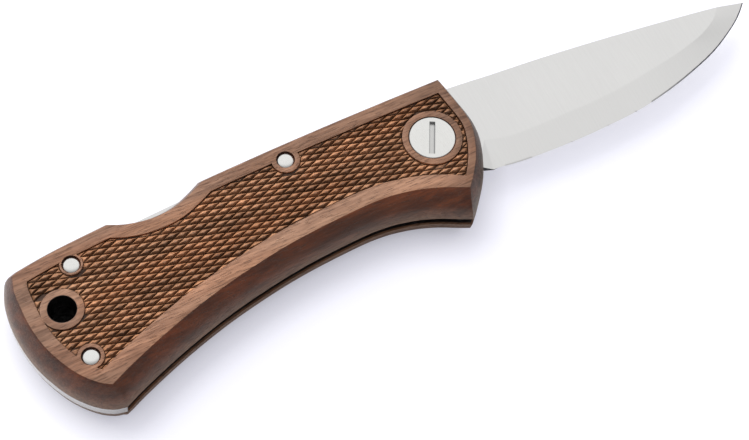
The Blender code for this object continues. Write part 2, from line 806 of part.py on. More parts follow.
def place_empty(name, location, parent=None):
    """An empty that marks a joint axis or the middle of the handle."""
    empty = bpy.data.objects.new(name, None)
    empty.location = location
    empty.parent = parent
    bpy.context.scene.collection.objects.link(empty)
    return empty


def build_knife():
    """Builds every piece and hangs it on the handle, the pivot or the rocker."""
    clear_scene()
    handle = place_empty("handle_frame", (0, 0, half_handle))
    blade_axis = place_empty("blade_axis", (0, 0, 0), handle)
    rocker_axis = place_empty("rocker_axis", rocker.to_3d(), handle)
    fixed = [make_back_spacer(), make_lock_spring(), make_pivot_barrel(), make_pivot_screw()]
    for side_name, side in (("right", 1), ("left", -1)):
        fixed.append(make_scale(side_name + "_scale", side))
        fixed.append(make_liner(side_name + "_liner", side))
        fixed.append(make_washer(side_name + "_washer", side))
    for rivet_name, centre in (("rocker_rivet", rocker), ("upper_rivet", upper_rivet),
                               ("lower_rivet", lower_rivet)):
        fixed.extend(make_rivet(rivet_name, centre))
    for piece in fixed:
        piece.parent = handle
    make_blade().parent = blade_axis
    lock_bar = make_lock_bar()
    lock_bar.parent = rocker_axis
    lock_bar.rotation_euler = (0, 0, release_angle)


build_knife()
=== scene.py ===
# %% [markdown]
# A lockback folding knife with walnut scales, dressed for the camera. The solids of the knife were
# modelled and packed before, and this script loads them as a fixed frame: every size and place
# below is in metres in that frame. X runs along the spine to the blade's tip, Y from the belly to
# the spine, and Z up through the thickness. The knife lies on its left scale at Z = 0.

# %% Load the frame
import math
import random

import bmesh
import bpy
from mathutils import Matrix, Vector
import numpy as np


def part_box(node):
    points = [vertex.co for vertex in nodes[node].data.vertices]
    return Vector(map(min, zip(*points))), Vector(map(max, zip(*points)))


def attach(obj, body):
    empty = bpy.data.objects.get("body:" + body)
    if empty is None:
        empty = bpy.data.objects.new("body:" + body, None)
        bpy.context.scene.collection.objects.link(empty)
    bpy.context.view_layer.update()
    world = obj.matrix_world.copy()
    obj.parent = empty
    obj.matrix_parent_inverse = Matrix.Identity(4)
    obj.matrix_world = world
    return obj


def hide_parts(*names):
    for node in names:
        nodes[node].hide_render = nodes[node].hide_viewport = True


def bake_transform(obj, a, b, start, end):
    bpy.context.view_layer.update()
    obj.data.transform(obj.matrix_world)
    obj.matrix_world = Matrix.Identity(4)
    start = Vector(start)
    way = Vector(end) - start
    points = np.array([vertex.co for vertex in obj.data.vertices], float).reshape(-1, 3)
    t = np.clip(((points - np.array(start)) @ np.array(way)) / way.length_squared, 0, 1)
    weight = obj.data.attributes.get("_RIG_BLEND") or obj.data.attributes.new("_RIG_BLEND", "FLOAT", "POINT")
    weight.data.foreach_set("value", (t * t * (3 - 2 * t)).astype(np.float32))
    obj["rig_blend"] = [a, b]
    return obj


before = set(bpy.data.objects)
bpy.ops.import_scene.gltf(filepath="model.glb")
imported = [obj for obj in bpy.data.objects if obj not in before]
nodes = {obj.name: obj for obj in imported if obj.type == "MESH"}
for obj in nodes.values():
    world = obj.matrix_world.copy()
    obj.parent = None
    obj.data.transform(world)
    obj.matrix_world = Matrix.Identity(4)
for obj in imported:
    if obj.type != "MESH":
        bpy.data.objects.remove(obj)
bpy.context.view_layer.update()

print("solids:", ", ".join(sorted(nodes)))

# %% [markdown]
# A few values are used again and again: the thickness of the handle and its middle plane, how close
# two points have to be to count as one, how level a face has to be to count as flat, and the angle
# at which an edge of steel looks sharp. The thickness comes from the frame, so it can't drift away
# from the solids.

# %% Shared values
MM = 0.001
handle_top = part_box("right_scale")[1].z
handle_middle = handle_top / 2
weld = 0.0005 * MM
flat_normal = 0.99
steel_angle = math.radians(30)
print("handle thickness:", round(handle_top / MM, 2), "mm")

# %% [markdown]
# The camera comes first, because everything after it is judged through it. The photograph was
# taken from about 63 degrees above the table with a long lens, with the knife turned 35 degrees
# and the camera rolled a little. So the camera is built from these angles, around the point of the
# handle's upper face that lies in the middle of the picture.

# %% Camera
camera_elevation = math.radians(62.885)
camera_turn = math.radians(-35.006)
camera_roll = math.radians(8.02)
camera_distance = 434.64 * MM
camera_focal = 94.0
camera_sensor = 36.0
camera_aim = Vector((-21.7 * MM, -12.85 * MM, handle_top))


def make_camera():
    """Camera at the photograph's viewing angle."""
    data = bpy.data.cameras.new("photo_camera")
    data.lens = camera_focal
    data.sensor_width = camera_sensor
    data.clip_start = 10 * MM
    camera = bpy.data.objects.new("photo_camera", data)
    bpy.context.scene.collection.objects.link(camera)
    back = Vector((0, -math.cos(camera_elevation), math.sin(camera_elevation)))
    turn = Matrix.Rotation(camera_turn, 4, "Z")
    tilt = Matrix.Rotation(math.pi / 2 - camera_elevation, 4, "X")
    roll = Matrix.Rotation(camera_roll, 4, "Z")
    place = Matrix.Translation(camera_aim + turn @ (back * camera_distance))
    camera.matrix_world = place @ turn @ tilt @ roll
    bpy.context.scene.camera = camera
    return camera


camera = make_camera()
print("camera at", tuple(round(value / MM, 1) for value in camera.matrix_world.translation), "mm")

# %% [markdown]
# The room, the table and every finish are node trees, and most of their nodes do one of a few small
# jobs: some arithmetic, mapping one range to another, mixing two values or colours, or reading a mark
# from the mesh. Each job gets a short function that returns a socket, so that a finish reads like a
# recipe. A Mix node has sockets for every kind of data at once, so its factor and its two inputs are
# picked by number.

# %% Shader helpers
mix_floats = (0, 2, 3)
mix_colours = (0, 6, 7)


def add_node(tree, kind, **settings):
    """A node of a kind, with some of its settings."""
    node = tree.nodes.new(kind)
    for name, value in settings.items():
        setattr(node, name, value)
    return node


def fill_socket(tree, socket, value):
    """Links an input to another socket, or sets it to a plain value."""
    if isinstance(value, bpy.types.NodeSocket):
        tree.links.new(value, socket)
    elif value is not None:
        socket.default_value = value


def math_node(tree, operation, first, second=None):
    """A maths node between two values or sockets; returns its output."""
    node = add_node(tree, "ShaderNodeMath", operation=operation)
    fill_socket(tree, node.inputs[0], first)
    fill_socket(tree, node.inputs[1], second)
    return node.outputs[0]


def range_node(tree, value, low, high, to_low, to_high, smooth=False):
    """Maps a socket from one range to another, held at its ends."""
    node = add_node(tree, "ShaderNodeMapRange", clamp=True)
    node.interpolation_type = "SMOOTHSTEP" if smooth else "LINEAR"
    tree.links.new(value, node.inputs["Value"])
    for name, number in (("From Min", low), ("From Max", high), ("To Min", to_low),
                         ("To Max", to_high)):
        node.inputs[name].default_value = number
    return node.outputs["Result"]


def mixed_value(tree, factor, first, second):
    """A float mix of two values or sockets; returns its output."""
    node = add_node(tree, "ShaderNodeMix", data_type="FLOAT")
    for index, value in zip(mix_floats, (factor, first, second)):
        fill_socket(tree, node.inputs[index], value)
    return node.outputs[0]


def mixed_colour(tree, factor, first, second, blend="MIX"):
    """A colour mix of two colours or sockets; returns its output."""
    node = add_node(tree, "ShaderNodeMix", data_type="RGBA", blend_type=blend)
    for index, value in zip(mix_colours, (factor, first, second)):
        fill_socket(tree, node.inputs[index], (*value, 1.0) if isinstance(value, tuple) else value)
    return node.outputs[2]


def multiplied(tree, colour, factor):
    """A colour times another colour or a plain factor."""
    return mixed_colour(tree, 1.0, colour, factor, "MULTIPLY")


def mark_value(tree, name):
    """The value of a mark that the mesh carries."""
    return add_node(tree, "ShaderNodeAttribute", attribute_name=name).outputs["Fac"]


def bump_node(tree, height, distance, strength=1.0):
    """A bump from a height socket; returns its normal."""
    node = add_node(tree, "ShaderNodeBump")
    node.inputs["Distance"].default_value = distance
    node.inputs["Strength"].default_value = strength
    tree.links.new(height, node.inputs["Height"])
    return node.outputs["Normal"]


def new_material(name):
    """A material with its tree and its Principled shader."""
    material = bpy.data.materials.new(name)
    material.use_nodes = True
    return material, material.node_tree, material.node_tree.nodes["Principled BSDF"]


print("shader helpers ready")

# %% [markdown]
# The room is brighter behind the knife than in front of it, which models the rounded wood, and what
# polished metal mirrors has a bright upper part with a soft edge, which gives the steel something to
# show. The camera itself sees plain white. One world does all three, because Light Path tells which
# kind of ray is asking.

# %% Room light
backdrop_seen = 1.0
room_direction = Vector((-0.48, 0.52, 0.70))
room_edge = (-0.7, 0.8)
room_dim = 0.19
room_bright = 0.37
mirror_direction = Vector((0.20, 0.60, 0.77))
mirror_edge = (0.45, 0.82)
mirror_dim = 0.36
mirror_bright = 0.90


def faced_value(tree, direction, side):
    """How far a direction socket points to one side, from -1 to 1."""
    facing = add_node(tree, "ShaderNodeVectorMath", operation="DOT_PRODUCT")
    facing.inputs[1].default_value = side.normalized()
    tree.links.new(direction, facing.inputs[0])
    return facing.outputs["Value"]


def mirror_ray(tree, path):
    """1 for a ray that was mirrored or went through something clear."""
    return math_node(tree, "MAXIMUM", path.outputs["Is Glossy Ray"],
                     path.outputs["Is Transmission Ray"])


def make_world():
    """Room light: bright behind the knife, dim in front, and white where the camera sees it."""
    world = bpy.data.worlds.new("studio")
    bpy.context.scene.world = world
    world.use_nodes = True
    tree = world.node_tree
    tree.nodes.clear()
    output = add_node(tree, "ShaderNodeOutputWorld")
    background = add_node(tree, "ShaderNodeBackground")
    background.inputs["Color"].default_value = (1.0, 1.0, 1.0, 1.0)
    path = add_node(tree, "ShaderNodeLightPath")
    direction = add_node(tree, "ShaderNodeTexCoord").outputs["Generated"]
    light = range_node(tree, faced_value(tree, direction, room_direction), *room_edge,
                       room_dim, room_bright, True)
    mirror = range_node(tree, faced_value(tree, direction, mirror_direction), *mirror_edge,
                        mirror_dim, mirror_bright, True)
    strength = mixed_value(tree, mirror_ray(tree, path), light, mirror)
    strength = mixed_value(tree, path.outputs["Is Camera Ray"], strength, backdrop_seen)
    tree.links.new(strength, background.inputs["Strength"])
    tree.links.new(background.outputs[0], output.inputs[0])
    return world


world = make_world()
print("room:", world.name, "with", len(world.node_tree.nodes), "nodes")

# %% [markdown]
# The table is plain white. The camera sees it partly as a plain white glow and partly by the light
# that falls on it, so the shadow is pale. The glow fades close to the knife as a painted contact
# shadow, and its slight blue shows only in the shadow, as a painted tint. Metal mirrors a white
# table, and the wood gets light from a greyer one, so that its sides stay dark.

# %% Table
floor_half = 3.0
floor_gap = 0.05 * MM
floor_colour = 0.32
floor_mirror_colour = 1.0
floor_seen_colour = 0.433
# The glow's blue shows only in the shadow, as a painted tint, and its fade near the knife is a painted
# contact shadow.
floor_glow = (0.70, 0.70, 0.79)
contact_shadow_reach = 9 * MM
contact_shadow_power = 0.5
contact_shadow_samples = 8


def table_glow(tree, path):
    """White glow that only the camera sees; its fade close to the knife is a painted contact shadow."""
    glow = add_node(tree, "ShaderNodeEmission")
    glow.inputs["Color"].default_value = (*floor_glow, 1.0)
    corner = add_node(tree, "ShaderNodeAmbientOcclusion", samples=contact_shadow_samples)
    corner.inputs["Distance"].default_value = contact_shadow_reach
    open_share = math_node(tree, "POWER", corner.outputs["AO"], contact_shadow_power)
    open_share = math_node(tree, "MULTIPLY", open_share, path.outputs["Is Camera Ray"])
    tree.links.new(open_share, glow.inputs["Strength"])
    return glow.outputs[0]


def make_table_finish():
    """White table, with a pale shadow and a painted contact shadow."""
    material = bpy.data.materials.new("white_table")
    material.use_nodes = True
    tree = material.node_tree
    tree.nodes.clear()
    output = add_node(tree, "ShaderNodeOutputMaterial")
    surface = add_node(tree, "ShaderNodeBsdfDiffuse")
    path = add_node(tree, "ShaderNodeLightPath")
    shade = mixed_colour(tree, mirror_ray(tree, path), (floor_colour,) * 3,
                         (floor_mirror_colour,) * 3)
    shade = mixed_colour(tree, path.outputs["Is Camera Ray"], shade, (floor_seen_colour,) * 3)
    tree.links.new(shade, surface.inputs["Color"])
    both = add_node(tree, "ShaderNodeAddShader")
    tree.links.new(surface.outputs[0], both.inputs[0])
    tree.links.new(table_glow(tree, path), both.inputs[1])
    tree.links.new(both.outputs[0], output.inputs[0])
    return material


def make_floor():
    """The table's top, just under the knife."""
    builder = bmesh.new()
    bmesh.ops.create_grid(builder, x_segments=1, y_segments=1, size=floor_half)
    bmesh.ops.translate(builder, verts=builder.verts, vec=(0, 0, -floor_gap))
    mesh = bpy.data.meshes.new("table_top")
    builder.to_mesh(mesh)
    builder.free()
    floor = bpy.data.objects.new("table_top", mesh)
    bpy.context.scene.collection.objects.link(floor)
    mesh.materials.append(make_table_finish())
    return floor


floor = make_floor()
print("table is", round(floor.dimensions.x, 1), "m wide")

# %% [markdown]
# One big soft lamp stands high at the back left, so the shadow falls towards the viewer and the
# belly side of the handle stays dark. Mirrored rays don't see it, because the room already has the
# bright part that the steel shows.

# %% Lamp
key_size = 0.90
key_power = 9.2
key_direction = Vector((-0.20, 0.64, 0.74))
key_distance = 0.8


def make_lamp():
    """One big soft lamp, aimed at the handle."""
    data = bpy.data.lights.new("soft_box", "AREA")
    data.shape = "SQUARE"
    data.size = key_size
    data.energy = key_power
    lamp = bpy.data.objects.new("soft_box", data)
    bpy.context.scene.collection.objects.link(lamp)
    lamp.location = camera_aim + key_direction.normalized() * key_distance
    lamp.rotation_euler = key_direction.to_track_quat("Z", "Y").to_euler()
    lamp.visible_glossy = False
    return lamp


lamp = make_lamp()
bpy.context.scene.view_settings.view_transform = "Standard"
print("lamp power:", round(lamp.data.energy, 2), "W")

# %% [markdown]
# Walnut is the main finish. Its look comes from layers that all run along the handle: broad bands of
# lighter and darker wood, fine fibres, and short dark pores. They are noise that is stretched a lot
# along X, so they follow the wood through the flared sides too. The rubbed metals need the same
# stretched noise, so it is a node group. Its inputs Along and Across say how many streaks fit in a
# metre along X and across it, and Low and High which part of the noise is spread from 0 to 1.

# %% Stretched noise group
streak_inputs = {"Along": 20.0, "Across": 1000.0, "Low": 0.35, "High": 0.65, "Detail": 3.0}


def make_streaks():
    """Node group: noise stretched along X."""
    group = bpy.data.node_groups.new("streaks", "ShaderNodeTree")
    for name, default in streak_inputs.items():
        socket = group.interface.new_socket(name, in_out="INPUT", socket_type="NodeSocketFloat")
        socket.default_value = default
    group.interface.new_socket("Value", in_out="OUTPUT", socket_type="NodeSocketFloat")
    given = add_node(group, "NodeGroupInput").outputs
    result = add_node(group, "NodeGroupOutput")
    place = add_node(group, "ShaderNodeTexCoord")
    scales = add_node(group, "ShaderNodeCombineXYZ")
    group.links.new(given["Along"], scales.inputs[0])
    group.links.new(given["Across"], scales.inputs[1])
    group.links.new(given["Across"], scales.inputs[2])
    stretched = add_node(group, "ShaderNodeVectorMath", operation="MULTIPLY")
    group.links.new(place.outputs["Object"], stretched.inputs[0])
    group.links.new(scales.outputs[0], stretched.inputs[1])
    noise = add_node(group, "ShaderNodeTexNoise")
    noise.inputs["Scale"].default_value = 1.0
    group.links.new(stretched.outputs[0], noise.inputs["Vector"])
    group.links.new(given["Detail"], noise.inputs["Detail"])
    spread = add_node(group, "ShaderNodeMapRange", clamp=True)
    group.links.new(noise.outputs[0], spread.inputs["Value"])
    group.links.new(given["Low"], spread.inputs["From Min"])
    group.links.new(given["High"], spread.inputs["From Max"])
    group.links.new(spread.outputs["Result"], result.inputs["Value"])
    return group


streaks = make_streaks()


def streak_value(tree, numbers):
    """Places the streaks group in a material with its own numbers; returns its value."""
    node = add_node(tree, "ShaderNodeGroup")
    node.node_tree = streaks
    for name, number in zip(streak_inputs, numbers):
        node.inputs[name].default_value = number
    return node.outputs["Value"]


print("streaks group inputs:", [item.name for item in streaks.interface.items_tree])

# %% [markdown]
# The lanyard hole goes through wood and steel, and its wall is painted near-black all the way down,
# as painted shade. The shade is a dark ring in the finish of every piece that the hole passes
# through, so it needs no piece of its own, and one node group lays it over the wood and the metals.

# %% Painted shade in the lanyard hole
lanyard_centre = Vector((-92.2 * MM, -2.3 * MM, 0))
hole_shade_radius = 3.27 * MM
hole_shade_soft = 0.04 * MM
# Near-black painted shade on the wall of the lanyard hole.
hole_painted_shade_colour = (0.004, 0.003, 0.003)


def make_hole_painted_shade():
    """Node group: turns the colour that it gets black round the axis of the lanyard hole, as painted shade.
    """
    group = bpy.data.node_groups.new("lacquer", "ShaderNodeTree")
    for way in ("INPUT", "OUTPUT"):
        group.interface.new_socket("Colour", in_out=way, socket_type="NodeSocketColor")
    given = add_node(group, "NodeGroupInput").outputs
    result = add_node(group, "NodeGroupOutput")
    flat = add_node(group, "ShaderNodeVectorMath", operation="MULTIPLY")
    flat.inputs[1].default_value = (1, 1, 0)
    group.links.new(add_node(group, "ShaderNodeTexCoord").outputs["Object"], flat.inputs[0])
    reach = add_node(group, "ShaderNodeVectorMath", operation="DISTANCE")
    reach.inputs[1].default_value = lanyard_centre
    group.links.new(flat.outputs[0], reach.inputs[0])
    inside = range_node(group, reach.outputs["Value"], hole_shade_radius - hole_shade_soft,
                        hole_shade_radius + hole_shade_soft, 1.0, 0.0)
    colour = mixed_colour(group, inside, given["Colour"], hole_painted_shade_colour)
    group.links.new(colour, result.inputs["Colour"])
    return group


lacquer = make_hole_painted_shade()


def with_hole_painted_shade(tree, colour):
    """Places the hole's painted shade over a material's colour; returns the new colour."""
    node = add_node(tree, "ShaderNodeGroup")
    node.node_tree = lacquer
    tree.links.new(colour, node.inputs["Colour"])
    return node.outputs["Colour"]


print("lacquer reaches", round(hole_shade_radius / MM, 2), "mm from the axis")

# %% [markdown]
# A board of walnut isn't one brown. The grain mixes a dark and a light tone by its bands and fibres,
# with warmer streaks between. Over that the real handle is a little darker along the spine and
# towards both ends, as if it were cut from one board.

# %% Grain of the walnut
walnut_light = (0.425, 0.226, 0.136)
walnut_dark = (0.148, 0.066, 0.034)
walnut_warmth = (1.06, 0.96, 0.88)
band_streaks = (14.0, 260.0, 0.38, 0.64, 2.0)
fibre_streaks = (150.0, 1900.0, 0.30, 0.70, 4.0)
warm_streaks = (26.0, 190.0, 0.42, 0.62, 1.0)
fibre_share = 0.62
belly_place = (-14.0 * MM, 1.08)
spine_place = (13.0 * MM, 0.95)
board_centre = -48.0 * MM
board_half = 60.0 * MM
end_length = 24.0 * MM
end_tone = 0.64


def wood_grain(tree, fibres):
    """Bands and fibres between the dark and the light tone, with warmer streaks."""
    tone = mixed_value(tree, fibre_share, streak_value(tree, band_streaks), fibres)
    colour = mixed_colour(tree, tone, walnut_dark, walnut_light)
    warmth = streak_value(tree, warm_streaks)
    return mixed_colour(tree, warmth, colour, multiplied(tree, colour, walnut_warmth))


def distance_from(tree, value, middle):
    """How far a socket's value lies from a middle value, either way."""
    return math_node(tree, "ABSOLUTE", math_node(tree, "SUBTRACT", value, middle))


def board_tone(tree, axes, colour):
    """Darkens the board along the spine and towards both ends."""
    across = range_node(tree, axes.outputs["Y"], belly_place[0], spine_place[0], belly_place[1],
                        spine_place[1])
    colour = multiplied(tree, colour, across)
    far = distance_from(tree, axes.outputs["X"], board_centre)
    ends = range_node(tree, far, board_half - end_length, board_half, 1.0, end_tone, True)
    return multiplied(tree, colour, ends)


print("fibres make up", fibre_share, "of the grain")

# %% [markdown]
# The flared sides are mottled like the grain, and darker and redder by a painted shade that grows
# away from the middle plane. The cells of the chequering get a painted highlight below their crowns,
# and the bottoms of the cuts a painted shade. The mesh tells the finish where all this is: a side mark
# on the faces of the sides, a groove mark that is 1 at the bottom of a cut, a tone for each cell with
# a painted shade on its belly-facing flanks, and a seam mark where a scale looks into the handle.

# %% Marks in the walnut
# Painted shade on the flared sides: it fades in between these distances from the middle plane.
side_fade = (1.0 * MM, 5.5 * MM)
side_painted_shade_tint = (0.39, 0.195, 0.105)
mottle_streaks = (70.0, 420.0, 0.36, 0.64, 3.0)
mottle_shades = (0.60, 1.34)
# Painted highlight: the cells are lighter and less saturated below their crowns.
flank_painted_highlight_tint = (1.88, 1.90, 1.80)
painted_highlight_grooves = (0.02, 0.10)
# Painted shade in the bottoms of the cuts, nearly black.
painted_groove_shade = (0.020, 0.007, 0.003)
painted_shade_depths = (0.72, 1.0)
groove_shade_share = 0.92
# Painted shade, nearly black, on the faces that look into the handle.
painted_seam_shade = (0.006, 0.003, 0.002)
seam_share = (0.26, 0.46)


def side_share(tree, axes):
    """How much a point belongs to the flared sides, more so away from the middle plane: the share of painted
    shade.
    """
    rise = distance_from(tree, axes.outputs["Z"], handle_middle)
    share = range_node(tree, rise, *side_fade, 0.0, 1.0, True)
    return math_node(tree, "MULTIPLY", share, mark_value(tree, "side"))


def side_mottle_and_painted_shade(tree, edge, colour):
    """Mottles the sides, and paints shade on them."""
    mottle = range_node(tree, streak_value(tree, mottle_streaks), 0.0, 1.0, *mottle_shades)
    colour = multiplied(tree, colour, mixed_value(tree, edge, 1.0, mottle))
    return mixed_colour(tree, edge, colour, multiplied(tree, colour, side_painted_shade_tint))


def cut_tone(tree, groove, colour):
    """Paints a highlight on the cells below their crowns, gives each cell its tone and its painted flank
    shade, and paints shade into the bottoms of the cuts.
    """
    highlight_share = range_node(tree, groove, *painted_highlight_grooves, 0.0, 1.0)
    colour = mixed_colour(tree, highlight_share, colour, multiplied(tree, colour, flank_painted_highlight_tint))
    cell = math_node(tree, "ADD", mark_value(tree, "cell_tone_and_painted_shade"), 1.0)
    colour = multiplied(tree, colour, cell)
    depth = range_node(tree, groove, *painted_shade_depths, 0.0, 1.0, True)
    return mixed_colour(tree, math_node(tree, "MULTIPLY", depth, groove_shade_share), colour, painted_groove_shade)


def paint_seam_shade(tree, colour):
    """Paints shade on the inner faces, nearly black."""
    inside = range_node(tree, mark_value(tree, "seam"), *seam_share, 0.0, 1.0)
    return mixed_colour(tree, inside, colour, painted_seam_shade)


print("sides start", side_fade[0] / MM, "mm from the middle plane")

# %% [markdown]
# The walnut puts the layers together in this order: grain, board, the sides' mottle and painted
# shade, pores, the cells' painted highlight and the cuts' painted shade, the seam's painted shade
# and the painted shade in the lanyard hole. A thin coat of oil shines on the faces and not in the
# cuts, and one bump carries fibres, pores and cuts, so that their heights stay in proportion.

# %% Walnut
pore_streaks = (380.0, 4200.0, 0.58, 0.68, 1.0)
walnut_pore = (0.060, 0.024, 0.012)
pore_share = 0.55
pore_depth = 0.05 * MM
fibre_height = 0.3
cut_height = 0.53 * MM
walnut_roughness = (0.34, 0.50)
walnut_coat = 0.4
walnut_coat_roughness = 0.28
side_coat = 0.2
coated_grooves = (0.0, 0.5)


def wood_height(tree, fibres, pores, groove):
    """Height of fibres, pores and cuts, in depths of a cut."""
    height = math_node(tree, "SUBTRACT", math_node(tree, "MULTIPLY", fibres, fibre_height), pores)
    height = math_node(tree, "MULTIPLY", height, pore_depth / cut_height)
    return math_node(tree, "SUBTRACT", height, groove)


def make_walnut():
    """Oiled walnut with bands, fibres and pores, a painted highlight on the cells, and painted shade on the
    sides, in the cuts, between the scales and in the lanyard hole.
    """
    material, tree, shader = new_material("oiled_walnut")
    fibres = streak_value(tree, fibre_streaks)
    pores = streak_value(tree, pore_streaks)
    groove = mark_value(tree, "groove")
    axes = add_node(tree, "ShaderNodeSeparateXYZ")
    tree.links.new(add_node(tree, "ShaderNodeTexCoord").outputs["Object"], axes.inputs[0])
    edge = side_share(tree, axes)
    colour = board_tone(tree, axes, wood_grain(tree, fibres))
    colour = side_mottle_and_painted_shade(tree, edge, colour)
    colour = mixed_colour(tree, math_node(tree, "MULTIPLY", pores, pore_share), colour, walnut_pore)
    colour = paint_seam_shade(tree, cut_tone(tree, groove, colour))
    tree.links.new(with_hole_painted_shade(tree, colour), shader.inputs["Base Color"])
    coat = range_node(tree, groove, *coated_grooves, walnut_coat, 0.0)
    tree.links.new(mixed_value(tree, edge, coat, side_coat), shader.inputs["Coat Weight"])
    shader.inputs["Coat Roughness"].default_value = walnut_coat_roughness
    rough = mixed_value(tree, fibres, walnut_roughness[1], walnut_roughness[0])
    tree.links.new(rough, shader.inputs["Roughness"])
    height = wood_height(tree, fibres, pores, groove)
    tree.links.new(bump_node(tree, height, cut_height), shader.inputs["Normal"])
    return material


walnut = make_walnut()
print("walnut nodes:", len(walnut.node_tree.nodes))

# %% [markdown]
# Bare metals differ in colour, in how sharply they mirror and in the way they were rubbed. One
# function makes them all: the scratches are the streaks group at a very fine pitch, with little
# height, and soft clouds keep a big face from looking even. A painted shade can be laid over a marked
# place: a painted dark reflection on the honed edge of the blade, and painted shade in the notch at
# its heel and in the slot of the pivot.

# %% Metals
scratch_spread = (0.3, 0.7, 2.0)
scratch_depth = 0.004 * MM
scratch_strength = 0.35
cloud_streaks = (60.0, 60.0, 0.3, 0.7, 2.0)
cloud_share = 0.35
rough_spread = (0.88, 1.12)
# Painted shade in the blade's heel notch, and a painted dark reflection along the honed edge.
painted_dark_steel = (0.10, 0.10, 0.12)
# Painted shade in the pivot's slot.
painted_slot_shade = (0.45, 0.45, 0.45)


def make_metal(name, colour, roughness, pitches, darkening=0.06, shades=()):
    """A rubbed metal, with fine streaks in its roughness, colour and height, and painted shades where
    marked.
    """
    material, tree, shader = new_material(name)
    shader.inputs["Metallic"].default_value = 1.0
    lines = streak_value(tree, (*pitches, *scratch_spread))
    tone = mixed_value(tree, cloud_share, lines, streak_value(tree, cloud_streaks))
    darker = tuple(value * (1 - darkening) for value in colour)
    colour = mixed_colour(tree, tone, darker, colour)
    for mark, shade in shades:
        colour = mixed_colour(tree, mark_value(tree, mark), colour, shade)
    tree.links.new(with_hole_painted_shade(tree, colour), shader.inputs["Base Color"])
    rough = range_node(tree, lines, 0.0, 1.0, *(roughness * share for share in rough_spread))
    tree.links.new(rough, shader.inputs["Roughness"])
    bump = bump_node(tree, lines, scratch_depth, scratch_strength)
    tree.links.new(bump, shader.inputs["Normal"])
    return material


blade_steel = make_metal("satin_blade_steel", (0.86, 0.855, 0.845), 0.33, (2600.0, 160.0),
                         shades=[("choil_painted_shade", painted_dark_steel), ("honed", painted_dark_steel)])
strip_steel = make_metal("bright_strip_steel", (0.66, 0.65, 0.68), 0.26, (300.0, 5000.0))
liner_steel = make_metal("brushed_liner_steel", (0.60, 0.60, 0.61), 0.36, (200.0, 4000.0))
spring_steel = make_metal("plain_spring_steel", (0.42, 0.43, 0.46), 0.40, (200.0, 4000.0))
pin_metal = make_metal("nickel_silver", (0.90, 0.895, 0.87), 0.20, (900.0, 900.0))
head_metal = make_metal("satin_nickel_silver", (0.92, 0.915, 0.89), 0.30, (4200.0, 500.0), 0.10,
                        [("sunk", painted_slot_shade)])
bronze = make_metal("washer_bronze", (0.62, 0.42, 0.20), 0.38, (900.0, 900.0))
print("finishes:", ", ".join(material.name for material in bpy.data.materials))

# %% [markdown]
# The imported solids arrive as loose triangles. For a smooth look, a copy is merged, its flat faces
# are joined again, and its edges are marked sharp by their angle. The copy then takes the place of
# the solid, and the solid stays for the simulation.

# %% Copies of the solids
joined_angle = math.radians(0.3)


def node_copy(name):
    """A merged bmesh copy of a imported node, with its flat faces joined."""
    builder = bmesh.new()
    builder.from_mesh(nodes[name].data)
    bmesh.ops.remove_doubles(builder, verts=builder.verts, dist=weld)
    bmesh.ops.dissolve_limit(builder, angle_limit=joined_angle, verts=builder.verts,
                             edges=builder.edges)
    return builder


def mark_sharp(builder, angle):
    """Smooth faces, with sharp edges where two faces meet at more than the angle."""
    for face in builder.faces:
        face.smooth = True
    for edge in builder.edges:
        edge.smooth = len(edge.link_faces) == 2 and edge.calc_face_angle(0) < angle


def finish_piece(name, builder, material, body, replaced):
    """Makes the object, and tells the frame what it rides on, if on one body, and replaces."""
    mesh = bpy.data.meshes.new(name)
    builder.to_mesh(mesh)
    builder.free()
    mesh.materials.append(material)
    piece = bpy.data.objects.new(name, mesh)
    bpy.context.scene.collection.objects.link(piece)
    if body:
        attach(piece, body)
    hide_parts(replaced)
    print(name + ":", len(mesh.polygons), "faces")
    return piece


print("solids to copy or to dress:", len(nodes))

# %% [markdown]
# The grip panels are chequered: two sets of straight V cuts cross at a narrow angle and leave rows
# of long diamonds. On the real handle a cutter makes one line after another, so the mesh is made
# the same way. The panel's floor is split along every line of both sets, and what lies in one cell
# is then joined to one face. Cells that the border or a ring trims come out trimmed, and the wood
# stays one closed shell. Each operator gets its edges and faces as a list in the mesh's own order,
# because a set has another order in each run, and each run would shade other cells.

# %% Lines of the chequering
panel_depth = 0.6 * MM
chequer_pitch = 1.528 * MM
chequer_angles = (math.radians(-18.0), math.radians(22.6))
chequer_phases = (0.267, 0.065)
on_line = 0.004


def line_position(point, angle, phase):
    """Where a point lies across a set of lines, in pitches: a line is at each whole number."""
    across = Vector((-math.sin(angle), math.cos(angle), 0))
    return across.dot(point) / chequer_pitch - phase - 0.5


def split_floor(builder, floor_faces):
    """Splits the floor's faces along both sets of lines."""
    cells = list(floor_faces)
    for angle, phase in zip(chequer_angles, chequer_phases):
        across = Vector((-math.sin(angle), math.cos(angle), 0))
        places = [line_position(vert.co, angle, phase) for face in cells for vert in face.verts]
        for line in range(math.ceil(min(places)), math.floor(max(places)) + 1):
            verts = dict.fromkeys(vert for face in cells for vert in face.verts)
            edges = dict.fromkeys(edge for face in cells for edge in face.edges)
            cut = bmesh.ops.bisect_plane(
                builder, geom=[*verts, *edges, *cells], dist=weld,
                plane_co=across * ((line + phase + 0.5) * chequer_pitch), plane_no=across)
            cells = [item for item in cut["geom"] if isinstance(item, bmesh.types.BMFace)]
    return cells


def lies_on_line(edge):
    """True if an edge lies on a line of either set."""
    for angle, phase in zip(chequer_angles, chequer_phases):
        ends = [line_position(vert.co, angle, phase) for vert in edge.verts]
        if all(abs(end - round(ends[0])) < on_line for end in ends):
            return True
    return False


def join_cells(builder, cells):
    """Joins what lies in one cell, by dissolving the edges that are on no line."""
    inside = set(cells)
    spare = [edge for edge in builder.edges
             if len(edge.link_faces) == 2 and all(face in inside for face in edge.link_faces)
             and not lies_on_line(edge)]
    bmesh.ops.dissolve_edges(builder, edges=spare, use_verts=True)


